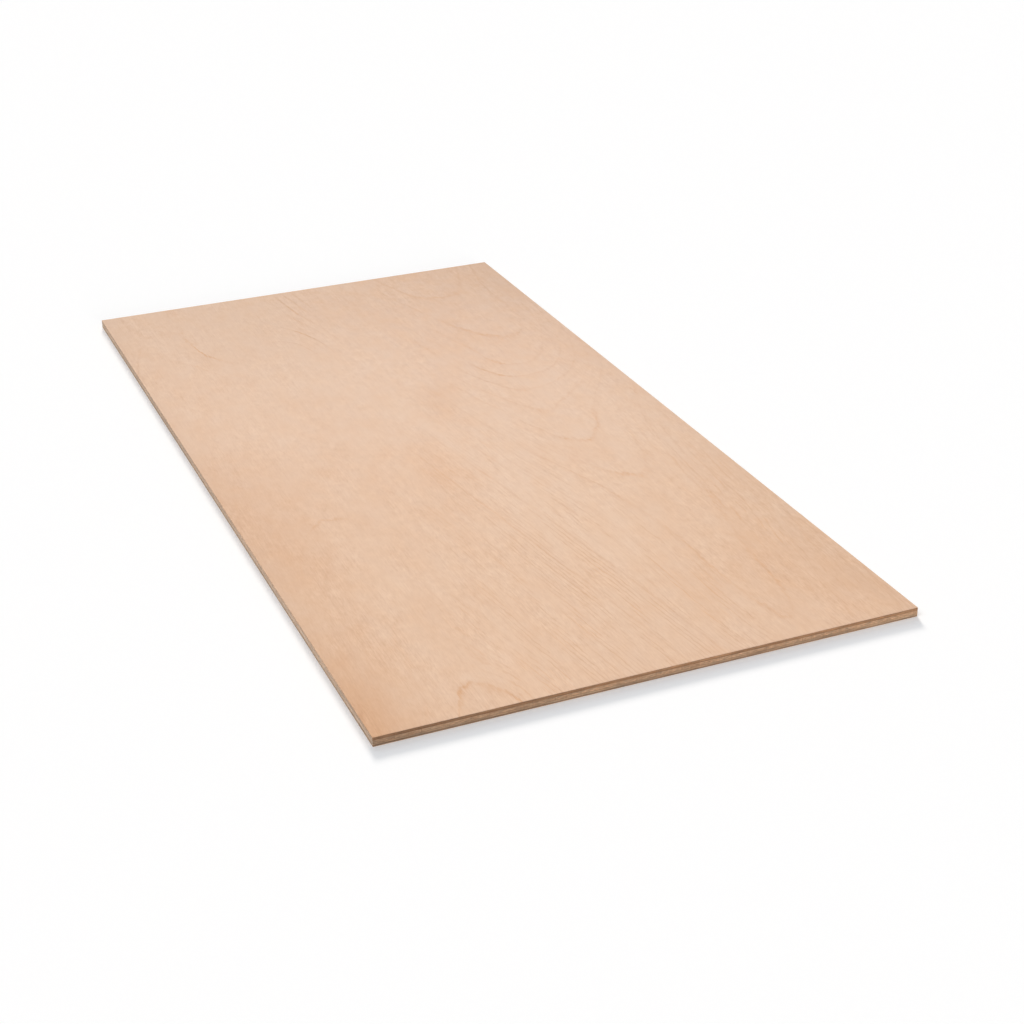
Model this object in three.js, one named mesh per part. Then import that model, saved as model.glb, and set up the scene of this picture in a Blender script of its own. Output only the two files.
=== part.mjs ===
// A sheet of five-ply plywood, lying flat: peeled veneers glued one on another with the grain of each ply square to
// the next, pressed, and then sawn to size and sanded. Units are millimetres and +Z is up. X runs along the sheet, Y
// across it, and the origin is the middle of the underside.
import * as THREE from "three";
import { ConvexGeometry } from "three/addons/geometries/ConvexGeometry.js";

// Driving dimensions
const sheetLength = 1220;
const sheetWidth = 610;
const faceThickness = 0.5; // the two outer veneers, thinned by sanding
const crossbandThickness = 3.2;
const coreThickness = 3.6;
const arris = 0.25; // what sanding takes off the sharp edge round each face

// The veneers' woods
const paleVeneer = new THREE.MeshStandardMaterial({ color: "#e3c2a5", roughness: 0.55, metalness: 0 });
const darkVeneer = new THREE.MeshStandardMaterial({ color: "#a17a58", roughness: 0.8, metalness: 0 });
const midVeneer = new THREE.MeshStandardMaterial({ color: "#bd946e", roughness: 0.8, metalness: 0 });

// The lay-up from the underside to the top face. Grain is "long" where it runs along the sheet and "cross" where it
// runs across it, and outside says which side of an outer veneer is the sheet's own face.
const layUp = [
  { name: "back_veneer", thickness: faceThickness, grain: "long", wood: paleVeneer, outside: "under" },
  { name: "lower_crossband", thickness: crossbandThickness, grain: "cross", wood: darkVeneer },
  { name: "core_ply", thickness: coreThickness, grain: "long", wood: midVeneer },
  { name: "upper_crossband", thickness: crossbandThickness, grain: "cross", wood: darkVeneer },
  { name: "face_veneer", thickness: faceThickness, grain: "long", wood: paleVeneer, outside: "top" },
];

// The corners of a rectangle centred on the Z axis, at one height.
function rectangleAt(height, alongGrain, acrossGrain) {
  const corners = [[-1, -1], [1, -1], [1, 1], [-1, 1]];
  return corners.map(([x, y]) => new THREE.Vector3((x * alongGrain) / 2, (y * acrossGrain) / 2, height));
}

// One veneer in its own frame, with its grain along X and its underside at height 0. It is lofted through level
// rectangles, and on the side that is outside the last of them is drawn in by the arris.
function veneerGeometry(alongGrain, acrossGrain, thickness, outside) {
  const easedUnder = outside === "under" ? arris : 0;
  const easedTop = outside === "top" ? arris : 0;
  const outlines = [
    rectangleAt(easedUnder, alongGrain, acrossGrain),
    rectangleAt(thickness - easedTop, alongGrain, acrossGrain),
  ];
  if (easedUnder) outlines.push(rectangleAt(0, alongGrain - 2 * arris, acrossGrain - 2 * arris));
  if (easedTop) outlines.push(rectangleAt(thickness, alongGrain - 2 * arris, acrossGrain - 2 * arris));
  return new ConvexGeometry(outlines.flat());
}

// A ply of the lay-up at the height that it is glued at, turned so that its grain runs the way it is laid.
function plyMesh({ name, wood, grain, outside }, thickness, height) {
  const isCross = grain === "cross";
  const alongGrain = isCross ? sheetWidth : sheetLength;
  const acrossGrain = isCross ? sheetLength : sheetWidth;
  const mesh = new THREE.Mesh(veneerGeometry(alongGrain, acrossGrain, thickness, outside), wood);
  mesh.name = name;
  mesh.rotation.z = isCross ? Math.PI / 2 : 0;
  mesh.position.z = height;
  return mesh;
}

const sheet = new THREE.Group();
sheet.name = "plywood_sheet";
let glueLine = 0; // the height of the next joint between two plies
for (const ply of layUp) {
  const thickness = Math.fround(ply.thickness); // as a mesh's 32-bit numbers hold it, so that glued faces meet exactly
  sheet.add(plyMesh(ply, thickness, glueLine));
  glueLine += thickness;
}

export default sheet;
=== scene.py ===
import math

import bpy
import numpy as np
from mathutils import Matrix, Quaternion, Vector
from mathutils.geometry import delaunay_2d_cdt


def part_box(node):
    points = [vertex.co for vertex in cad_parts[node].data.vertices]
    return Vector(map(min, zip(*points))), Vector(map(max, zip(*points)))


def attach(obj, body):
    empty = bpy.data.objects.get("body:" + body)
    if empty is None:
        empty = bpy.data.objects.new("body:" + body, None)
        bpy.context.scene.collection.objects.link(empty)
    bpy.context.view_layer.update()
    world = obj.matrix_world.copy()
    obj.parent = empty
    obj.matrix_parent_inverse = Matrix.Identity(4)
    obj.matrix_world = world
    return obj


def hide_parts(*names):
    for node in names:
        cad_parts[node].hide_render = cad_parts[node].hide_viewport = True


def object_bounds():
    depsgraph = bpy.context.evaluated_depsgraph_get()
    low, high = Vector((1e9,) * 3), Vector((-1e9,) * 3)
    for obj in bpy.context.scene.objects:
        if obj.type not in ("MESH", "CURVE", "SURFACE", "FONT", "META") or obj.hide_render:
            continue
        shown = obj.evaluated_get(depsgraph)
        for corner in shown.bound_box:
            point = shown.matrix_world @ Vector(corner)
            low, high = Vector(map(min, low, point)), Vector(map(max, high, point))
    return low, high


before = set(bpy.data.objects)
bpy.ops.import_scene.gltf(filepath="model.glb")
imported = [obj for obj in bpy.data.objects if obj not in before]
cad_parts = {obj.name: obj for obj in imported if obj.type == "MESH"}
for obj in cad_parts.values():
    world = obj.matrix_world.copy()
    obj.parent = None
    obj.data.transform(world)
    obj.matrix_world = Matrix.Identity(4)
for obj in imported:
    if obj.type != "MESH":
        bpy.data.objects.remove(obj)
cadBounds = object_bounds()
print("frame loaded:", sorted(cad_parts))

mm = 0.001
smoothStep = {"interpolation_type": "SMOOTHSTEP"}
# the values that most of a noise lies between, and those that nearly all of it does
mostNoise = {"From Min": 0.3, "From Max": 0.7}
allNoise = {"From Min": 0.2, "From Max": 0.8}


def linearColour(hexColour):
    channels = [int(hexColour[i:i + 2], 16) / 255 for i in (0, 2, 4)]
    return [c / 12.92 if c <= 0.04045 else ((c + 0.055) / 1.055) ** 2.4 for c in channels] + [1.0]


def addNode(tree, kind, settings=None, inputs=None):
    # settings are the node's own properties, and an input is a value, or a node or socket to link from
    node = tree.nodes.new("ShaderNode" + kind)
    for name, value in (settings or {}).items():
        setattr(node, name, value)
    for name, value in (inputs or {}).items():
        if isinstance(value, bpy.types.Node):
            value = value.outputs[0]
        if isinstance(value, bpy.types.NodeSocket):
            tree.links.new(value, node.inputs[name])
        else:
            node.inputs[name].default_value = value
    return node


def newMaterial(name):
    material = bpy.data.materials.new(name)
    material.use_nodes = True
    material.node_tree.nodes.clear()
    return material, material.node_tree


cameraLook = {
    "position": (2.0790, -0.7629, 1.0147),
    "aim": (0.2036, 0.0097, 0.0),
    "roll": -0.936,  # degrees
    "lens": 67.375, "sensor": 36.0,  # mm
}


def placeCamera():
    data = bpy.data.cameras.new("camera")
    data.sensor_width = cameraLook["sensor"]
    data.lens = cameraLook["lens"]
    camera = bpy.data.objects.new("camera", data)
    bpy.context.scene.collection.objects.link(camera)
    camera.location = cameraLook["position"]
    lookAlong = Vector(cameraLook["aim"]) - Vector(cameraLook["position"])
    rollTurn = Quaternion((0, 0, 1), math.radians(cameraLook["roll"]))
    camera.rotation_mode = "QUATERNION"
    camera.rotation_quaternion = lookAlong.to_track_quat("-Z", "Y") @ rollTurn
    bpy.context.scene.camera = camera
    bpy.context.scene.view_settings.view_transform = "Standard"


placeCamera()
print("camera placed")


studioLook = {
    "floorSize": 60.0,  # metres
    "floorColour": "F6F6F7",
    "floorLift": 0.118,  # shown on top of the floor's lit colour, so that the floor reads as white
    "skyColour": "F3F9FF", "seenSky": "FFFFFF",  # where it lights things, and where it is seen
    "skyStrength": 0.31,
    # In degrees: azimuth 0 is the -Y side and 90 the +X side, and a wider angle gives a softer shadow.
    # A white surface that squarely faces a lamp of power 1 reads as white.
    "lamps": {
        "backLamp": {"azimuth": 256, "elevation": 24, "angle": 13, "power": 0.755, "colour": "FFF8EE"},
        "leftLamp": {"azimuth": 8, "elevation": 55, "angle": 35, "power": 0.295, "colour": "FFFFFF"},
        "highLamp": {"azimuth": 262, "elevation": 45, "angle": 26, "power": 0.139, "colour": "FFFFFF"},
        "frontLamp": {"azimuth": 91, "elevation": 6, "angle": 16, "power": 0.28, "colour": "FFFFFF"},
    },
}


def seenStraight(tree):
    # 1 for rays that show a thing to the camera, in a reflection or through glass, and 0 for those that
    # light other things
    rays = addNode(tree, "LightPath")
    seen = addNode(tree, "Math", {"operation": "MAXIMUM"}, {
        0: rays.outputs["Is Camera Ray"], 1: rays.outputs["Is Glossy Ray"]})
    return addNode(tree, "Math", {"operation": "MAXIMUM"}, {
        0: seen, 1: rays.outputs["Is Transmission Ray"]})


def makeFloor():
    half = studioLook["floorSize"] / 2
    corners = [(-half, -half, 0), (half, -half, 0), (half, half, 0), (-half, half, 0)]
    mesh = bpy.data.meshes.new("floor")
    mesh.from_pydata(corners, [], [(0, 1, 2, 3)])
    floor = bpy.data.objects.new("floor", mesh)
    bpy.context.scene.collection.objects.link(floor)

    # matt paper: no sheen, and pale enough to vanish into the background
    material, tree = newMaterial("matt white paper")
    lift = addNode(tree, "Math", {"operation": "MULTIPLY"}, {
        0: seenStraight(tree), 1: studioLook["floorLift"]})
    paper = addNode(tree, "BsdfDiffuse", inputs={"Color": linearColour(studioLook["floorColour"])})
    glow = addNode(tree, "Emission", inputs={"Strength": lift})
    surface = addNode(tree, "AddShader", inputs={0: paper, 1: glow})
    addNode(tree, "OutputMaterial", inputs={"Surface": surface})
    mesh.materials.append(material)


def makeSky():
    # plain white where it is seen, and a dim pale blue where it lights things
    world = bpy.data.worlds.new("studio")
    bpy.context.scene.world = world
    world.use_nodes = True
    tree = world.node_tree
    tree.nodes.clear()
    seen = seenStraight(tree)
    strength = addNode(tree, "MapRange", inputs={
        "Value": seen, "To Min": studioLook["skyStrength"], "To Max": 1.0})
    colour = addNode(tree, "MixRGB", inputs={
        0: seen, 1: linearColour(studioLook["skyColour"]), 2: linearColour(studioLook["seenSky"])})
    sky = addNode(tree, "Background", inputs={"Color": colour, "Strength": strength})
    addNode(tree, "OutputWorld", inputs={"Surface": sky})


def makeLamp(name, lamp):
    data = bpy.data.lights.new(name, "SUN")
    data.energy = lamp["power"] * math.pi
    data.angle = math.radians(lamp["angle"])
    data.color = linearColour(lamp["colour"])[:3]
    light = bpy.data.objects.new(name, data)
    bpy.context.scene.collection.objects.link(light)
    turn, rise = math.radians(lamp["azimuth"]), math.radians(lamp["elevation"])
    towards = Vector((math.sin(turn) * math.cos(rise), -math.cos(turn) * math.cos(rise), math.sin(rise)))
    light.rotation_mode = "QUATERNION"
    light.rotation_quaternion = (-towards).to_track_quat("-Z", "Y")


makeFloor()
makeSky()
for name, lamp in studioLook["lamps"].items():
    makeLamp(name, lamp)
print("floor, sky and lamps ready")


endless = 1e6  # mm, the reach of a soft spot that runs all along the sheet, all across it or all through it

faceLook = {
    "paleWood": "E3C1A7", "warmWood": "D7A884", "growthLine": "BC8251", "tanLine": "CC8A4C",
    # the growth rings as the knife met them: sizes in mm, heights counted in rings
    "ringSpacing": 105.0,  # along the grain from one arch to the next, from the log's taper
    # the log is out of round, so the knife rides over a ridge: where it is, how far off the next one is,
    # and how high it is, which gathers the rings on its sides
    "ridgeLine": 185.0, "ridgeWave": 780.0, "ridgeRings": 8.9,
    "firstRing": 0.14, "ringSeed": 65.0,
    # where the cut meets few rings to the mm, a ring's line is wide, and where it meets many, narrow
    "crownSteepness": 0.010, "crownWidth": 18.0,
    "flankSteepness": 0.040, "flankWidth": 6.0,
    # back from the ring's end, in shares of that width: the line comes in up to lineFull and fades out from
    # lineFade to 1
    "lineFull": 0.45, "lineFade": 0.2,
    "faintLine": 0.06, "strongLine": 0.33,
    "lateWood": 0.16,  # how dark a ring gets before its line
    # the share of a line that these patterns leave where they are low, and where they are high
    "leastLine": {"patch": 0.4, "grit": 0.5},
    "mostLine": 1.05,
    "tanEdges": (0.5, 0.62),  # the ripple's values from which a line starts to be tan, and is so in full
    "fineLines": 3, "fineStrength": 0.23,  # how many faint lines a ring has besides, away from the arches
    "fineGap": 0.2,  # the higher it is, the thinner they are, and from 1 there are none
    "strandEdges": (0.42, 0.62),  # the strand's values from which they start to show, and do so in full
    "patchEdges": (0.36, 0.64),  # the values from which a patch starts, and is full
    "patchStrength": 0.35,  # how much more or less than usual the grain shows in a patch
    "cloudWarmth": 0.2, "blotchShade": 0.025,
    # soft spots, with places and sizes in mm along the grain and across it, and what each one does
    "spots": [
        # "rings" bends the growth lines, by so many rings
        {"centre": (-250, 255), "reach": (200, 80), "rings": 1.3},
        {"centre": (0, 250), "reach": (200, 80), "rings": -1.6},
        {"centre": (600, 165), "reach": (230, 70), "rings": 2.1},
        {"centre": (250, 110), "reach": (220, 90), "rings": -0.6},
        {"centre": (-350, -75), "reach": (90, 48), "rings": -3.2},
        {"centre": (-360, -181), "reach": (190, 60), "rings": 2.9},
        {"centre": (330, -190), "reach": (180, 80), "rings": -1.0},
        {"centre": (-345, -188), "reach": (60, 45), "rings": -0.35},
        {"centre": (-490, -95), "reach": (60, 40), "rings": 1.0},
        {"centre": (-380, 275), "reach": (110, 45), "rings": 0.8},
        {"centre": (-470, 200), "reach": (70, 60), "rings": -0.35},
        {"centre": (-210, 170), "reach": (55, 80), "rings": 0.45},
        {"centre": (-60, 195), "reach": (75, 70), "rings": -0.32},
        {"centre": (-520, -238), "reach": (110, 45), "rings": 0.42, "lines": -0.8},
        {"centre": (600, -145), "reach": (90, 45), "rings": -0.55},
        {"centre": (600, -250), "reach": (90, 45), "rings": 0.65},
        {"centre": (155, -210), "reach": (70, 60), "rings": 0.17},
        {"centre": (205, 185), "reach": (60, 45), "rings": -0.15},
        # "lines" fades the growth lines, or brings them out
        {"centre": (-330, -60), "reach": (340, 130), "lines": -0.85},
        {"centre": (-140, -230), "reach": (260, 110), "lines": -0.8},
        {"centre": (-400, 50), "reach": (260, 70), "lines": -0.7},
        {"centre": (300, -90), "reach": (350, 60), "lines": -0.5},
        {"centre": (280, -200), "reach": (300, 110), "lines": -0.6},
        {"centre": (-410, -50), "reach": (65, 32), "lines": 2.6},
        {"centre": (-425, -202), "reach": (105, 30), "lines": 2.2},
        {"centre": (-310, 185), "reach": (110, 60), "lines": 0.8},
        {"centre": (80, 175), "reach": (60, 45), "lines": 0.9},
        {"centre": (600, -180), "reach": (70, 55), "rings": -0.22, "lines": 1.8},
        {"centre": (-560, -29), "reach": (60, 15), "lines": 4.0},
        {"centre": (157, -212), "reach": (22, 40), "lines": 0.9},
        {"centre": (490, -170), "reach": (70, 60), "lines": 1.8},
        {"centre": (290, 130), "reach": (340, 110), "lines": 0.6},
        {"centre": (-180, 175), "reach": (45, 45), "lines": 1.3},
        {"centre": (-350, 215), "reach": (120, 70), "lines": -0.35},
        {"centre": (-240, 270), "reach": (260, 45), "lines": -0.6},
        {"centre": (-160, 205), "reach": (60, 45), "lines": -0.4},
        {"centre": (190, 180), "reach": (50, 38), "lines": 2.7},
        {"centre": (-380, 142), "reach": (70, 30), "lines": -0.45},
        {"centre": (185, 118), "reach": (60, 20), "lines": -0.8},
        # "fine" draws fine lines besides, and "blotch" blotches
        {"centre": (430, 60), "reach": (420, 170), "fine": 1.0},
        {"centre": (560, -150), "reach": (150, 110), "fine": 0.7},
        {"centre": (340, 240), "reach": (330, 60), "fine": 0.8},
        {"centre": (140, -190), "reach": (330, 130), "blotch": 1.0},
        # "warm" reddens the wood, and "grain" brings out its fibres, pores and mottle
        {"centre": (640, -330), "reach": (165, 60), "warm": 0.97, "tone": -0.02},
        {"centre": (560, 270), "reach": (260, 110), "warm": 0.4},
        {"centre": (120, -330), "reach": (330, 110), "warm": 0.34, "tone": -0.012},
        {"centre": (260, -270), "reach": (420, 70), "warm": 0.12},
        {"centre": (90, 180), "reach": (230, 140), "warm": -0.16},
        {"centre": (90, -35), "reach": (90, 32), "warm": 0.25},
        {"centre": (-110, 42), "reach": (80, 28), "warm": 0.3},
        {"centre": (-660, 330), "reach": (260, 170), "warm": 0.12},
        {"centre": (650, 0), "reach": (430, endless), "grain": 0.45},
        # "tone" lightens or darkens the wood, "yellow" yellows it, and "hue" brings out its changes of hue
        # painted shade: the far end is drawn darker against the back lamp's sheen there
        {"centre": (-700, 0), "reach": (330, endless), "tone": -0.15},
        {"centre": (270, -60), "reach": (330, 150), "tone": 0.024, "warm": 0.05},
        {"centre": (0, 330), "reach": (endless, 60), "tone": -0.08},
        {"centre": (-620, 300), "reach": (260, 160), "tone": -0.03},
        {"centre": (585, 250), "reach": (35, 45), "tone": 0.03},
        {"centre": (545, -135), "reach": (60, 18), "tone": 0.03},
        {"centre": (0, -330), "reach": (endless, 42), "tone": -0.05},
        {"centre": (560, -110), "reach": (180, 110), "tone": 0.02},
        {"centre": (320, 110), "reach": (300, 90), "tone": 0.018, "warm": 0.1},
        {"centre": (-420, -130), "reach": (230, 100), "tone": -0.02},
        {"centre": (-460, 262), "reach": (110, 60), "tone": -0.02},
        {"centre": (55, -45), "reach": (90, 60), "tone": 0.02},
        {"centre": (450, 0), "reach": (330, endless), "yellow": 1.0},
        {"centre": (-330, 200), "reach": (330, 260), "yellow": -1.0},
        {"centre": (-330, 150), "reach": (420, 170), "hue": 1.0},
    ],
    # how wide each pattern is in mm along the grain, across it and through the veneer, and what it does: it
    # bends the rings, reddens the wood or shades it
    "layers": {
        "drift": {"size": (220.0, 90.0, 60.0), "detail": 1.0, "rings": 0.12},
        "waver": {"size": (60.0, 24.0, 60.0), "detail": 2.0, "rings": 0.16},
        "jitter": {"size": (12.0, 5.0, 60.0), "detail": 1.0, "rings": 0.08},
        "cloud": {"size": (420.0, 230.0, 60.0), "detail": 1.0},
        "patch": {"size": (120.0, 40.0, 60.0), "detail": 2.0},
        "ripple": {"size": (75.0, 42.0, 60.0), "detail": 1.0, "warm": 0.07},
        "blotch": {"size": (24.0, 17.0, 60.0), "detail": 2.0},
        "mottle": {"size": (15.0, 9.0, 60.0), "detail": 2.0, "shade": 0.030},
        "grit": {"size": (11.0, 3.5, 60.0), "detail": 1.0, "shade": 0.014},
        # birch's fibres and pores are much finer than this, and are drawn as coarse as they need to show
        "fibre": {"size": (44.0, 1.7, 2.0), "detail": 3.0, "shade": 0.030},
        "pore": {"size": (7.0, 0.8, 0.8), "detail": 1.0, "shade": 0.030},
        "hue": {"size": (34.0, 22.0, 60.0), "detail": 2.0, "warm": 0.05},
        "strand": {"size": (260.0, 11.0, 60.0), "detail": 2.0},
    },
    "offset": (0.0, 0.0, 0.0),  # mm, picks another part of the patterns
    # how much red, green and blue change where the wood is shaded, where its hue strays, and in the spots
    # of "tone" and "yellow"
    "shadeTint": (0.68, 1.0, 1.22),
    "hueTint": (0.006, 0.0, -0.012),
    "toneTint": (0.87, 1.0, 1.14),
    "yellowTint": (0.004, 0.004, -0.012),
    "fibreHeight": 0.015, "poreHeight": 0.010,  # mm
    "roughness": 0.85, "ior": 1.5,
}
backLook = dict(
    faceLook, paleWood="DDB997", warmWood="D2A378", ringSpacing=120.0, ridgeLine=-60.0, ridgeWave=640.0,
    ridgeRings=7.5, spots=[{"centre": (150, 90), "reach": (130, 60), "rings": -2.0}],
    offset=(3100.0, 900.0, 0.0))


def softSpots(tree, place, look, effect):
    # adds up the humps that have this effect
    total = 0.0
    for spot in look["spots"]:
        if effect not in spot:
            continue
        away = addNode(tree, "VectorMath", {"operation": "SUBTRACT"}, {0: place, 1: (*spot["centre"], 0.0)})
        away = addNode(tree, "VectorMath", {"operation": "DIVIDE"}, {0: away, 1: (*spot["reach"], endless)})
        away = addNode(tree, "VectorMath", {"operation": "DOT_PRODUCT"}, {0: away, 1: away})
        hump = addNode(tree, "Math", {"operation": "POWER"}, {0: math.exp(-1), 1: away.outputs["Value"]})
        total = addNode(tree, "Math", {"operation": "MULTIPLY_ADD"}, {0: hump, 1: spot[effect], 2: total})
    return total


def layerNoises(tree, place, layers):
    noises = {}
    for key, layer in layers.items():
        stretched = addNode(tree, "VectorMath", {"operation": "DIVIDE"}, {0: place, 1: layer["size"]})
        noises[key] = addNode(tree, "TexNoise", inputs={
            "Vector": stretched, "Scale": 1.0, "Detail": layer["detail"]})
    return noises


def logRings(tree, look, place, noises):
    # how far through the log's rings the cut has got, and how many of them it meets to the mm
    axes = addNode(tree, "SeparateXYZ", inputs={0: place})
    taper = addNode(tree, "Math", {"operation": "DIVIDE"}, {0: axes.outputs["X"], 1: -look["ringSpacing"]})
    ridge = addNode(tree, "Math", {"operation": "SUBTRACT"}, {0: axes.outputs["Y"], 1: look["ridgeLine"]})
    angle = addNode(tree, "Math", {"operation": "MULTIPLY"}, {0: ridge, 1: 2 * math.pi / look["ridgeWave"]})
    ridge = addNode(tree, "Math", {"operation": "COSINE"}, {0: angle})
    rings = addNode(tree, "Math", {"operation": "MULTIPLY_ADD"}, {
        0: ridge, 1: look["ridgeRings"], 2: taper})
    for key, layer in look["layers"].items():
        if "rings" in layer:
            rings = addNode(tree, "Math", {"operation": "MULTIPLY_ADD"}, {
                0: noises[key], 1: 2 * layer["rings"], 2: rings})
    bends = softSpots(tree, place, look, "rings")
    rings = addNode(tree, "Math", {"operation": "ADD"}, {0: rings, 1: bends})
    rings = addNode(tree, "Math", {"operation": "ADD"}, {0: rings, 1: look["firstRing"]})

    steep = addNode(tree, "Math", {"operation": "SINE"}, {0: angle})
    steep = addNode(tree, "Math", {"operation": "MULTIPLY"}, {
        0: steep, 1: look["ridgeRings"] * 2 * math.pi / look["ridgeWave"]})
    steep = addNode(tree, "Math", {"operation": "POWER"}, {0: steep, 1: 2.0})
    steep = addNode(tree, "Math", {"operation": "ADD"}, {0: steep, 1: look["ringSpacing"] ** -2})
    steep = addNode(tree, "Math", {"operation": "SQRT"}, {0: steep})
    return rings, steep


def growthLines(tree, look, place, noises, rings, steep):
    # A ring darkens a little all through and most just before its end. Its line is broad over the arches'
    # crowns, where the knife ran level with the ring, and thin along their flanks.
    within = addNode(tree, "Math", {"operation": "FRACT"}, {0: rings})
    left = addNode(tree, "Math", {"operation": "SUBTRACT"}, {0: 1.0, 1: within})
    left = addNode(tree, "Math", {"operation": "DIVIDE"}, {0: left, 1: steep})  # mm to the end of the ring
    crown = addNode(tree, "MapRange", smoothStep, {
        "Value": steep, "From Min": look["crownSteepness"], "From Max": look["flankSteepness"],
        "To Min": 1.0, "To Max": 0.0})
    width = addNode(tree, "MapRange", inputs={
        "Value": crown, "To Min": look["flankWidth"], "To Max": look["crownWidth"]})
    left = addNode(tree, "Math", {"operation": "DIVIDE"}, {0: left, 1: width})
    line = addNode(tree, "MapRange", smoothStep, {
        "Value": left, "From Min": look["lineFade"], "From Max": 1.0, "To Min": 1.0, "To Max": 0.0})
    end = addNode(tree, "MapRange", smoothStep, {"Value": left, "From Max": look["lineFull"]})
    line = addNode(tree, "Math", {"operation": "MULTIPLY"}, {0: line, 1: end})
    lateWood = addNode(tree, "Math", {"operation": "MULTIPLY"}, {0: within, 1: look["lateWood"]})
    line = addNode(tree, "Math", {"operation": "MAXIMUM"}, {0: line, 1: lateWood})

    # some rings have a stronger line than others, and it comes and goes along the ring
    number = addNode(tree, "Math", {"operation": "FLOOR"}, {0: rings})
    number = addNode(tree, "Math", {"operation": "ADD"}, {0: number, 1: look["ringSeed"]})
    ringTone = addNode(tree, "TexWhiteNoise", {"noise_dimensions": "1D"}, {"W": number})
    strength = addNode(tree, "MapRange", inputs={
        "Value": ringTone.outputs["Value"], "To Min": look["faintLine"], "To Max": look["strongLine"]})
    line = addNode(tree, "Math", {"operation": "MULTIPLY"}, {0: line, 1: strength})
    for key, least in look["leastLine"].items():
        part = addNode(tree, "MapRange", smoothStep, {
            "Value": noises[key], "From Min": look["patchEdges"][0], "From Max": look["patchEdges"][1],
            "To Min": least, "To Max": look["mostLine"]})
        line = addNode(tree, "Math", {"operation": "MULTIPLY"}, {0: line, 1: part})
    strength = softSpots(tree, place, look, "lines")
    strength = addNode(tree, "Math", {"operation": "ADD"}, {0: strength, 1: 1.0})
    strength = addNode(tree, "Math", {"operation": "MAXIMUM"}, {0: strength, 1: 0.0})
    fine = fineLines(tree, look, place, noises, rings, crown)
    line = addNode(tree, "Math", {"operation": "MULTIPLY_ADD"}, {0: line, 1: strength, 2: fine})
    return line, crown


def fineLines(tree, look, place, noises, rings, crown):
    # the faint lines that follow the rings away from the crowns, broken up into strands
    fine = addNode(tree, "Math", {"operation": "MULTIPLY"}, {0: rings, 1: look["fineLines"] * 2 * math.pi})
    fine = addNode(tree, "Math", {"operation": "SINE"}, {0: fine})
    fine = addNode(tree, "MapRange", smoothStep, {"Value": fine, "From Min": look["fineGap"]})
    flank = addNode(tree, "MapRange", inputs={
        "Value": crown, "To Min": look["fineStrength"], "To Max": 0.0})
    spread = softSpots(tree, place, look, "fine")
    flank = addNode(tree, "Math", {"operation": "MULTIPLY"}, {0: flank, 1: spread})
    strand = addNode(tree, "MapRange", smoothStep, {
        "Value": noises["strand"], "From Min": look["strandEdges"][0], "From Max": look["strandEdges"][1]})
    fine = addNode(tree, "Math", {"operation": "MULTIPLY"}, {0: fine, 1: strand})
    return addNode(tree, "Math", {"operation": "MULTIPLY"}, {0: fine, 1: flank})


def veneerColour(tree, look, place, noises, line, crown):
    # pale wood that reddens in clouds, with darker lines that are tan over the crowns and on the ripple
    warmth = addNode(tree, "MapRange", smoothStep, {
        "Value": noises["cloud"], **mostNoise, "To Max": look["cloudWarmth"]})
    spread = softSpots(tree, place, look, "warm")
    warmth = addNode(tree, "Math", {"operation": "ADD"}, {0: warmth, 1: spread})
    for key, layer in look["layers"].items():
        if "warm" in layer:
            part = addNode(tree, "MapRange", inputs={
                "Value": noises[key], **mostNoise, "To Min": -layer["warm"], "To Max": layer["warm"]})
            warmth = addNode(tree, "Math", {"operation": "ADD", "use_clamp": True}, {0: warmth, 1: part})
    colour = addNode(tree, "MixRGB", inputs={
        0: warmth, 1: linearColour(look["paleWood"]), 2: linearColour(look["warmWood"])})
    tan = addNode(tree, "MapRange", inputs={
        "Value": noises["ripple"], "From Min": look["tanEdges"][0], "From Max": look["tanEdges"][1]})
    tan = addNode(tree, "Math", {"operation": "MAXIMUM"}, {0: tan, 1: crown})
    lineColour = addNode(tree, "MixRGB", inputs={
        0: tan, 1: linearColour(look["growthLine"]), 2: linearColour(look["tanLine"])})
    return addNode(tree, "MixRGB", inputs={0: line, 1: colour, 2: lineColour})


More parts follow.
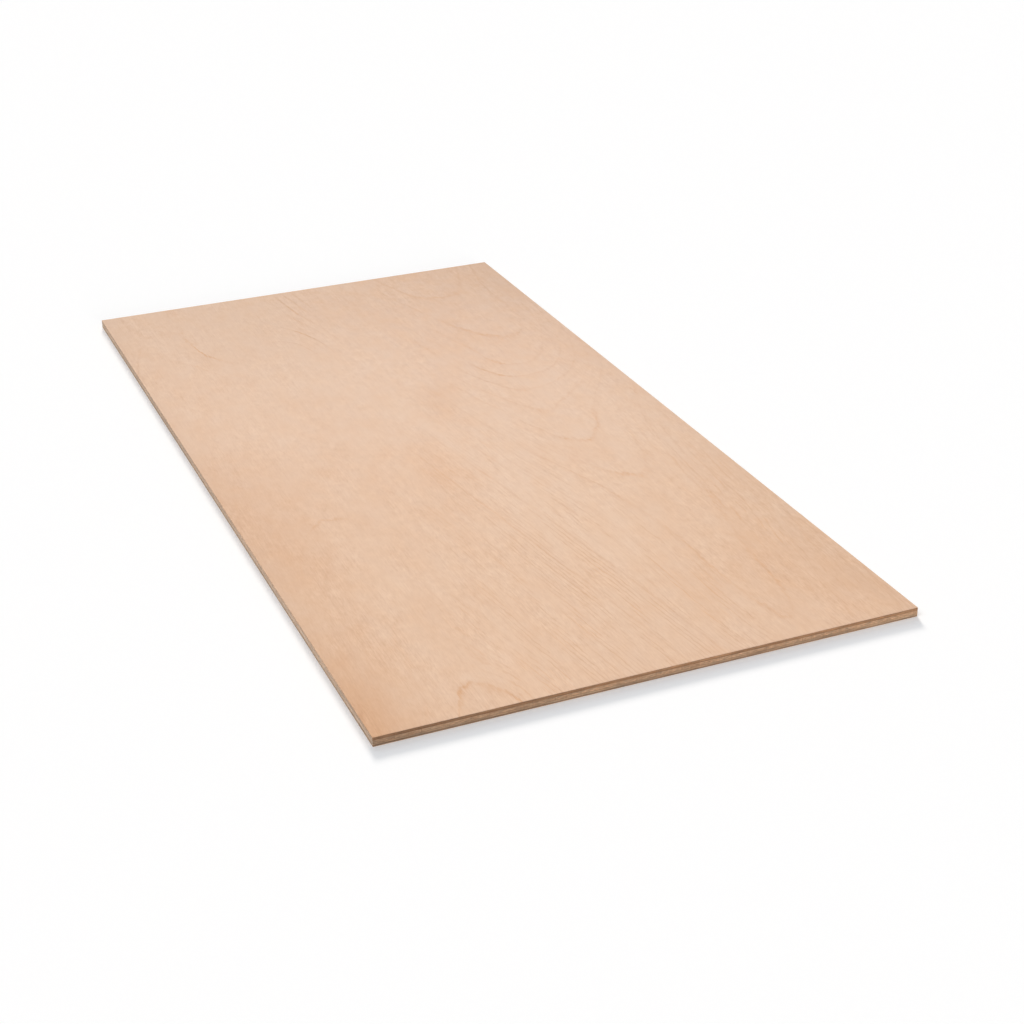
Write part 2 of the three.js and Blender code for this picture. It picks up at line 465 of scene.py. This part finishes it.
def veneerShade(tree, look, place, noises):
    # Fibres, pores, grit, mottle and blotches shade the wood, more in some parts than in others, and what
    # is darker is browner too.
    tone = 0.0
    for key, layer in look["layers"].items():
        if "shade" in layer:
            part = addNode(tree, "MapRange", inputs={
                "Value": noises[key], **mostNoise, "To Min": -layer["shade"], "To Max": layer["shade"]})
            tone = addNode(tree, "Math", {"operation": "ADD"}, {0: tone, 1: part})
    blotch = addNode(tree, "MapRange", inputs={
        "Value": noises["blotch"], **mostNoise,
        "To Min": -look["blotchShade"], "To Max": look["blotchShade"]})
    spread = softSpots(tree, place, look, "blotch")
    tone = addNode(tree, "Math", {"operation": "MULTIPLY_ADD"}, {0: blotch, 1: spread, 2: tone})
    uneven = addNode(tree, "MapRange", smoothStep, {
        "Value": noises["patch"], "From Min": look["patchEdges"][0], "From Max": look["patchEdges"][1],
        "To Min": 1 - look["patchStrength"], "To Max": 1 + look["patchStrength"]})
    strength = softSpots(tree, place, look, "grain")
    strength = addNode(tree, "Math", {"operation": "ADD"}, {0: strength, 1: 1.0})
    strength = addNode(tree, "Math", {"operation": "MULTIPLY"}, {0: strength, 1: uneven})
    tone = addNode(tree, "Math", {"operation": "MULTIPLY"}, {0: tone, 1: strength})

    hue = addNode(tree, "MapRange", inputs={
        "Value": noises["hue"], **mostNoise, "To Min": -1.0, "To Max": 1.0})
    strength = softSpots(tree, place, look, "hue")
    strength = addNode(tree, "Math", {"operation": "ADD"}, {0: strength, 1: 1.0})
    hue = addNode(tree, "Math", {"operation": "MULTIPLY"}, {0: hue, 1: strength})
    shade = addNode(tree, "VectorMath", {"operation": "MULTIPLY_ADD"}, {
        0: hue, 1: look["hueTint"], 2: (1.0, 1.0, 1.0)})
    shade = addNode(tree, "VectorMath", {"operation": "MULTIPLY_ADD"}, {
        0: tone, 1: look["shadeTint"], 2: shade})
    for effect in ("tone", "yellow"):
        part = addNode(tree, "VectorMath", {"operation": "SCALE"}, {
            0: look[effect + "Tint"], "Scale": softSpots(tree, place, look, effect)})
        shade = addNode(tree, "VectorMath", {"operation": "ADD"}, {0: shade, 1: part})
    return shade


def veneerFace(look, name):
    # Rotary cutting runs the knife round the log just under its growth rings, so that they surface as slow
    # arches and long wavering lines. Sanding leaves the wood matt, with a soft sheen where the light comes
    # from behind.
    material, tree = newMaterial(name)
    place = addNode(tree, "TexCoord").outputs["Object"]
    place = addNode(tree, "VectorMath", {"operation": "SCALE"}, {0: place, "Scale": 1 / mm})
    moved = addNode(tree, "VectorMath", {"operation": "ADD"}, {0: place, 1: look["offset"]})
    noises = layerNoises(tree, moved, look["layers"])
    rings, steep = logRings(tree, look, place, noises)
    line, crown = growthLines(tree, look, place, noises, rings, steep)
    colour = veneerColour(tree, look, place, noises, line, crown)
    shade = veneerShade(tree, look, place, noises)
    colour = addNode(tree, "VectorMath", {"operation": "MULTIPLY"}, {0: colour, 1: shade})

    height = addNode(tree, "Math", {"operation": "MULTIPLY"}, {0: noises["fibre"], 1: look["fibreHeight"]})
    height = addNode(tree, "Math", {"operation": "MULTIPLY_ADD"}, {
        0: noises["pore"], 1: look["poreHeight"], 2: height})
    bump = addNode(tree, "Bump", inputs={"Height": height, "Strength": 1.0, "Distance": mm})
    shader = addNode(tree, "BsdfPrincipled", inputs={
        "Base Color": colour, "Roughness": look["roughness"], "IOR": look["ior"], "Normal": bump})
    addNode(tree, "OutputMaterial", inputs={"Surface": shader})
    return material


crossbandLook = {
    "sideGrain": "CF9A6F", "endGrain": "D5B699", "darkLayer": "9A6D4C", "check": "6E4C38",
    "glueStain": "7C563D",
    "layerSpacing": 2.3,  # mm between growth layers through the ply
    "layerRings": 1.2,  # how many layers they stray by
    "layerEdges": (0.25, 0.95),  # the shares of a layer from which it starts to darken, and has done so
    "layerContrast": 0.4,
    # how squarely a side has to face along the grain to start to show end grain, and to show it in full
    "endFacing": (0.5, 0.8),
    "toneAcross": 0.12,  # how much lighter the short sides are at the +Y corner than in their middle
    # painted shade: the short sides, lit by the front and back lamps, are drawn darker than the long ones
    "shortSidePaintedShade": 0.315,  # how much darker the short sides are than the long ones
    # mm: the ply is made up of strips, laid side by side and counted from a line well outside the sheet
    "stripWidth": 170.0, "stripShift": 5040.0,
    # how far the gap between two strips shows to each side in mm, and how dark it is
    "jointWidth": 0.6, "jointStrength": 0.8,
    "checkEdges": (0.66, 0.78),  # the pattern's values from which a crack opens, and is full
    "checkStrength": 0.3,
    "glueStrength": 0.6,
    "sawPitch": 1.8,  # mm between the marks of the saw's teeth, drawn coarser than they are to show at all
    "sawDetail": 2.0,
    "stripShade": 0.07, "sawShade": 0.07,
    # painted contact shade at the lower edge: full up to footStart, less and less up to footHeight, in mm
    "paintedFootShade": 0.42, "footStart": 0.5, "footHeight": 3.2,
    # how wide each pattern is in mm along the grain, across it and through the ply, and how much it shades
    "layers": {
        "wander": {"size": (260.0, 38.0, 7.0), "detail": 2.0},
        # bundles of fibres, as real fibres are too fine to show
        "fibre": {"size": (22.0, 4.5, 1.0), "detail": 2.0, "shade": 0.32},
        "speck": {"size": (8.0, 6.0, 1.5), "detail": 1.0, "shade": 0.22},
        "tone": {"size": (60.0, 45.0, 7.0), "detail": 2.0, "shade": 0.12},
        "drift": {"size": (200.0, 120.0, 40.0), "detail": 1.0, "shade": 0.08},
        "hue": {"size": (14.0, 9.0, 3.0), "detail": 2.0},
        "check": {"size": (40.0, 1.1, 3.4), "detail": 1.0},
    },
    "hueTint": (0.045, -0.01, -0.06),  # how much red, green and blue change where the hue strays
    "fibreHeight": 0.12, "sawHeight": 0.10, "crackDepth": 0.15,  # mm
    "roughness": 0.82, "ior": 1.5,
}
lowerLook = dict(crossbandLook, sideGrain="E8BC95", darkLayer="AF8466")
upperLook = dict(crossbandLook, stripShift=5095.0, glueStrength=0.25)
coreLook = dict(
    crossbandLook, sideGrain="DBC1A9", endGrain="E6B891", darkLayer="C4966F", check="8E6C4A",
    glueStain="8C664B", toneAcross=0.105, stripWidth=140.0, stripShift=5015.0, layerContrast=0.35)


def plyLayers(tree, look, axes, noises, ends):
    # side grain or end grain, with growth layers that run nearly level through the ply
    colour = addNode(tree, "MixRGB", inputs={
        0: ends, 1: linearColour(look["sideGrain"]), 2: linearColour(look["endGrain"])})
    layering = addNode(tree, "Math", {"operation": "DIVIDE"}, {
        0: axes.outputs["Z"], 1: look["layerSpacing"]})
    layering = addNode(tree, "Math", {"operation": "MULTIPLY_ADD"}, {
        0: noises["wander"], 1: 2 * look["layerRings"], 2: layering})
    layering = addNode(tree, "Math", {"operation": "FRACT"}, {0: layering})
    layering = addNode(tree, "MapRange", smoothStep, {
        "Value": layering, "From Min": look["layerEdges"][0], "From Max": look["layerEdges"][1],
        "To Max": look["layerContrast"]})
    return addNode(tree, "MixRGB", inputs={0: layering, 1: colour, 2: linearColour(look["darkLayer"])})


def plyCracks(tree, look, strip, noises, ends):
    # the end grain shows the joints between the strips and the knife's cracks
    joint = addNode(tree, "Math", {"operation": "PINGPONG"}, {0: strip, 1: 0.5})
    joint = addNode(tree, "MapRange", inputs={
        "Value": joint, "From Max": look["jointWidth"] / look["stripWidth"],
        "To Min": look["jointStrength"], "To Max": 0.0})
    crack = addNode(tree, "MapRange", smoothStep, {
        "Value": noises["check"], "From Min": look["checkEdges"][0], "From Max": look["checkEdges"][1],
        "To Max": look["checkStrength"]})
    crack = addNode(tree, "Math", {"operation": "MAXIMUM"}, {0: crack, 1: joint})
    return addNode(tree, "Math", {"operation": "MULTIPLY"}, {0: crack, 1: ends})


def plyTone(tree, look, axes, facing, patterns):
    # painted shade: the short sides and the foot are drawn darker, and each pattern shades the wood by its
    # own share
    shortSide = addNode(tree, "Math", {"operation": "ABSOLUTE"}, {0: facing.outputs["X"]})
    tone = addNode(tree, "Math", {"operation": "MULTIPLY_ADD"}, {
        0: axes.outputs["Y"], 1: look["toneAcross"] * mm / cadBounds[1].y, 2: -look["shortSidePaintedShade"]})
    tone = addNode(tree, "Math", {"operation": "MULTIPLY_ADD"}, {0: tone, 1: shortSide, 2: 1.0})
    # painted contact shade, darker towards the lower edge
    foot = addNode(tree, "MapRange", smoothStep, {
        "Value": axes.outputs["Z"], "From Min": look["footStart"], "From Max": look["footHeight"],
        "To Min": 1 - look["paintedFootShade"]})
    tone = addNode(tree, "Math", {"operation": "MULTIPLY"}, {0: tone, 1: foot})
    for pattern, shade in patterns:
        part = addNode(tree, "MapRange", inputs={
            "Value": pattern, **allNoise, "To Min": 1 - shade, "To Max": 1 + shade})
        tone = addNode(tree, "Math", {"operation": "MULTIPLY"}, {0: tone, 1: part})
    return tone


def sawnPly(look, grain, name):
    # A peeled inner veneer never sees sandpaper. What shows is its sawn edge: long fibres where the saw ran
    # along the grain, and their open ends, with the fine cracks that the peeling knife left, where it ran
    # across.
    material, tree = newMaterial(name)
    coordinates = addNode(tree, "TexCoord")
    place = addNode(tree, "VectorMath", {"operation": "SCALE"}, {
        0: coordinates.outputs["Object"], "Scale": 1 / mm})
    axes = addNode(tree, "SeparateXYZ", inputs={0: place})
    facing = addNode(tree, "SeparateXYZ", inputs={0: coordinates.outputs["Normal"]})
    along, across = ("Y", "X") if grain == "cross" else ("X", "Y")
    grained = addNode(tree, "CombineXYZ", inputs={
        "X": axes.outputs[along], "Y": axes.outputs[across], "Z": axes.outputs["Z"]})
    noises = layerNoises(tree, grained, look["layers"])
    ends = addNode(tree, "Math", {"operation": "ABSOLUTE"}, {0: facing.outputs[along]})
    ends = addNode(tree, "MapRange", inputs={
        "Value": ends, "From Min": look["endFacing"][0], "From Max": look["endFacing"][1]})
    colour = plyLayers(tree, look, axes, noises, ends)

    strip = addNode(tree, "Math", {"operation": "ADD"}, {0: axes.outputs[across], 1: look["stripShift"]})
    strip = addNode(tree, "Math", {"operation": "DIVIDE"}, {0: strip, 1: look["stripWidth"]})
    number = addNode(tree, "Math", {"operation": "FLOOR"}, {0: strip})
    stripTone = addNode(tree, "TexWhiteNoise", {"noise_dimensions": "1D"}, {"W": number})
    crack = plyCracks(tree, look, strip, noises, ends)
    colour = addNode(tree, "MixRGB", inputs={0: crack, 1: colour, 2: linearColour(look["check"])})
    glue = addNode(tree, "Attribute", {"attribute_name": "glue"}).outputs["Fac"]
    glue = addNode(tree, "Math", {"operation": "MULTIPLY"}, {0: glue, 1: look["glueStrength"]})
    colour = addNode(tree, "MixRGB", inputs={0: glue, 1: colour, 2: linearColour(look["glueStain"])})

    # the saw's marks cross the edge from face to face
    sawPlace = addNode(tree, "Math", {"operation": "ADD"}, {0: axes.outputs["X"], 1: axes.outputs["Y"]})
    sawPlace = addNode(tree, "Math", {"operation": "DIVIDE"}, {0: sawPlace, 1: look["sawPitch"]})
    sawMark = addNode(tree, "TexNoise", {"noise_dimensions": "1D"}, {
        "W": sawPlace, "Scale": 1.0, "Detail": look["sawDetail"]})
    patterns = [(noises[key], layer["shade"]) for key, layer in look["layers"].items() if "shade" in layer]
    patterns += [(stripTone, look["stripShade"]), (sawMark, look["sawShade"])]
    tone = plyTone(tree, look, axes, facing, patterns)
    colour = addNode(tree, "VectorMath", {"operation": "SCALE"}, {0: colour, "Scale": tone})
    hue = addNode(tree, "MapRange", inputs={
        "Value": noises["hue"], **mostNoise, "To Min": -1.0, "To Max": 1.0})
    hue = addNode(tree, "VectorMath", {"operation": "MULTIPLY_ADD"}, {
        0: hue, 1: look["hueTint"], 2: (1.0, 1.0, 1.0)})
    colour = addNode(tree, "VectorMath", {"operation": "MULTIPLY"}, {0: colour, 1: hue})

    height = addNode(tree, "Math", {"operation": "MULTIPLY"}, {0: noises["fibre"], 1: look["fibreHeight"]})
    height = addNode(tree, "Math", {"operation": "MULTIPLY_ADD"}, {
        0: sawMark, 1: look["sawHeight"], 2: height})
    height = addNode(tree, "Math", {"operation": "MULTIPLY_ADD"}, {
        0: crack, 1: -look["crackDepth"], 2: height})
    bump = addNode(tree, "Bump", inputs={"Height": height, "Strength": 1.0, "Distance": mm})
    shader = addNode(tree, "BsdfPrincipled", inputs={
        "Base Color": colour, "Roughness": look["roughness"], "IOR": look["ior"], "Normal": bump})
    addNode(tree, "OutputMaterial", inputs={"Surface": shader})
    return material


edgeLook = {  # sizes in mm
    "pitch": 2.0,  # between the points round the sheet
    "glueWave": 0.18, "glueWaveReach": 22,  # how far a glue line strays, and over about how many points
    "glueGroove": 0.04,
    "glueBand": 0.28, "veneerGlueBand": 0.1,  # how far the glue stains an inner ply, and an outer veneer
    "endRelief": 0.10, "endReach": 1.3,  # how rough a sawn edge is across the grain, over how many points
    "sideRelief": 0.05, "sideReach": 16,  # and along it
    "rowPitch": 0.8,  # between the rows of points up a sawn edge
    "arris": 0.25, "arrisSteps": 4,
    # how far the saw tears an outer veneer's fibres out, here and there at the ends, over how many points
    "tearOut": 0.55, "tearReach": 1.6,
    "tearFrom": 0.45,  # the higher it is, the fewer tears there are, and from 1 there are none
    "rimWidth": 0.4,  # of the row of faces beside the arris
    "capInset": 5.0, "capPitch": 30.0,  # how far in a ply's flat cap starts, and between its points
    "sharpAngle": 40,  # degrees
    "seed": 11,
}
plies = [  # from the floor up
    {"piece": "backVeneer", "node": "back_veneer", "slot": "face_veneer_wood", "grain": "long",
     "outside": "under", "look": backLook, "wood": "rotary cut birch, back"},
    {"piece": "lowerCrossband", "node": "lower_crossband", "slot": "crossband_wood", "grain": "cross",
     "look": lowerLook, "wood": "sawn hardwood ply, lower crossband"},
    {"piece": "corePly", "node": "core_ply", "slot": "core_wood", "grain": "long",
     "look": coreLook, "wood": "sawn hardwood ply, core"},
    {"piece": "upperCrossband", "node": "upper_crossband", "slot": "crossband_wood", "grain": "cross",
     "look": upperLook, "wood": "sawn hardwood ply, upper crossband"},
    {"piece": "faceVeneer", "node": "face_veneer", "slot": "face_veneer_wood", "grain": "long",
     "outside": "top", "look": faceLook, "wood": "rotary cut sanded birch, face"},
]
rng = np.random.default_rng(edgeLook["seed"])


def outlinePoints(pitch):
    # points round the sheet, and the way out from each, which slants at the corners
    low, high = cadBounds
    corners = np.array([(low.x, low.y), (high.x, low.y), (high.x, high.y), (low.x, high.y)])
    waysOut = np.array([(0, -1), (1, 0), (0, 1), (-1, 0)])
    places, outwards = [], []
    for k in range(4):
        start, end = corners[k], corners[(k + 1) % 4]
        steps = round(np.linalg.norm(end - start) / pitch)
        places.append(start + (end - start) * np.arange(steps)[:, None] / steps)
        outward = np.tile(waysOut[k], (steps, 1))
        outward[0] += waysOut[k - 1]
        outwards.append(outward)
    return np.vstack(places), np.vstack(outwards)


outline, outwards = outlinePoints(edgeLook["pitch"] * mm)
pointCount = len(outline)
shortEnd = np.abs(outwards[:, 0]) > 0


def wander(reach):
    # a closed random line round the sheet that turns over about this many points and stays between -1 and 1
    steps = np.arange(pointCount)
    kernel = np.exp(-0.5 * (np.minimum(steps, pointCount - steps) / reach) ** 2)
    line = np.fft.irfft(np.fft.rfft(rng.normal(size=pointCount)) * np.fft.rfft(kernel), pointCount)
    return line / np.abs(line).max()


level = np.zeros(pointCount)
glueLines = [edgeLook["glueWave"] * mm * wander(edgeLook["glueWaveReach"]) for _ in plies[1:]]
glueLines = [level] + glueLines + [level]


def sawnInset(grain):
    # how far one row of a ply's edge lies inside the sheet's outline
    endGrain = shortEnd if grain == "long" else ~shortEnd
    rough = edgeLook["endRelief"] * (0.5 + 0.5 * wander(edgeLook["endReach"]))
    even = edgeLook["sideRelief"] * (0.5 + 0.5 * wander(edgeLook["sideReach"]))
    return np.where(endGrain, rough, even) * mm


def sawnRows(ply, first, last):
    # the rows of a sawn edge between two heights, without the first and the last
    between = max(1, round(float(np.mean(last - first)) / (edgeLook["rowPitch"] * mm)))
    return [(first + (last - first) * step / between, sawnInset(ply["grain"]), 0.0)
            for step in range(1, between)]


def glueRows(ply, height, band, cap):
    # from inside the sheet out to the glue line, and on to where the glue's stain ends
    inset = sawnInset(ply["grain"])
    return [(level + float(np.mean(height)), level + cap, 0.0),
            (height, inset + edgeLook["glueGroove"] * mm, 1.0),
            (height + band, inset, 0.0)]


def arrisRows(face, inward, cap):
    # from inside the sheet out over the sanded arris. inward is -1 on the face and 1 on the back.
    tearFrom = edgeLook["tearFrom"]
    tear = np.clip(wander(edgeLook["tearReach"]) - tearFrom, 0, None) / (1 - tearFrom)
    tear = tear * edgeLook["tearOut"] * mm * shortEnd
    arris, steps = edgeLook["arris"] * mm, edgeLook["arrisSteps"]
    rows = [(level + face, level + cap, 0.0), (level + face, arris + tear + edgeLook["rimWidth"] * mm, 0.0)]
    for step in range(steps + 1):
        turn = math.pi / 2 * step / steps
        rows.append((level + face + inward * arris * (1 - math.cos(turn)),
                     arris * (1 - math.sin(turn)) + tear * math.cos(turn), 0.0))
    return rows


def plyRows(ply, index):
    # rows of points from the ply's underside to its top: height, inset and how much glue stains it
    low, high = (corner.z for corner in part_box(ply["node"]))
    bottom, top = low + glueLines[index], high + glueLines[index + 1]
    outside, cap = ply.get("outside"), edgeLook["capInset"] * mm
    band = edgeLook["veneerGlueBand" if outside else "glueBand"] * mm
    under = arrisRows(low, 1, cap) if outside == "under" else glueRows(ply, bottom, band, cap)
    over = arrisRows(high, -1, cap) if outside == "top" else glueRows(ply, top, -band, cap)
    return under + sawnRows(ply, under[-1][0], over[-1][0]) + over[::-1]


def wallShape(rows):
    # the points of a ply's edge, row by row, and the faces between each row and the next
    places = np.zeros((len(rows), pointCount, 3))
    for row, (height, inset, _) in enumerate(rows):
        # the least inset is taken off by shrinking the whole outline, which keeps the corners from folding
        least = inset.min()
        places[row, :, :2] = outline * (1 - least / outline.max(0)) - outwards * (inset - least)[:, None]
        places[row, :, 2] = height
    here = np.arange(pointCount)
    after = (here + 1) % pointCount
    faces = []
    for lower in range(0, (len(rows) - 1) * pointCount, pointCount):
        upper = lower + pointCount
        faces += np.stack([lower + here, lower + after, upper + after, upper + here], 1).tolist()
    return places, faces


def capTriangles(ring):
    # fills a flat ring with triangles, over inner points on a wide grid that keeps clear of the ring
    low, high, pitch = ring.min(0), ring.max(0), edgeLook["capPitch"] * mm
    across, along = (np.arange(low[k] + pitch / 2, high[k] - pitch / 4, pitch) for k in (0, 1))
    inner = np.stack(np.meshgrid(across, along), -1).reshape(-1, 2)
    points = [Vector(point) for point in np.vstack([ring, inner])]
    insideOnly, nearest = 1, 1e-7  # the kind of result, and how near two points may be in metres
    _, _, triangles, sources, _, _ = delaunay_2d_cdt(points, [], [range(len(ring))], insideOnly, nearest)
    return inner, [[sources[corner][0] for corner in triangle] for triangle in triangles]


def plyMesh(name, rows):
    places, faces = wallShape(rows)
    inner, triangles = capTriangles(places[0, :, :2])
    places = places.reshape(-1, 3)
    topStart = len(places) - pointCount
    for start, turned in ((0, -1), (topStart, 1)):
        innerStart = len(places) - pointCount
        faces += [[c + (start if c < pointCount else innerStart) for c in triangle[::turned]]
                  for triangle in triangles]
        places = np.vstack([places, np.column_stack([inner, np.full(len(inner), places[start, 2])])])

    mesh = bpy.data.meshes.new(name)
    mesh.from_pydata(places.tolist(), [], faces)
    glue = np.zeros(len(places), np.float32)
    glue[:len(rows) * pointCount] = np.repeat([row[2] for row in rows], pointCount)
    mesh.attributes.new("glue", "FLOAT", "POINT").data.foreach_set("value", glue)
    mesh.polygons.foreach_set("use_smooth", np.ones(len(mesh.polygons), bool))
    mesh.set_sharp_from_angle(angle=math.radians(edgeLook["sharpAngle"]))
    return mesh


def buildPly(ply, index):
    mesh = plyMesh(ply["piece"], plyRows(ply, index))
    if "outside" in ply:
        mesh.materials.append(veneerFace(ply["look"], ply["wood"]))
    else:
        mesh.materials.append(sawnPly(ply["look"], ply["grain"], ply["wood"]))
    piece = bpy.data.objects.new(ply["piece"], mesh)
    bpy.context.scene.collection.objects.link(piece)
    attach(piece, "root")
    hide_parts(ply["node"])
    print(ply["piece"], "built with", len(mesh.polygons), "faces")


for index, ply in enumerate(plies):
    buildPly(ply, index)
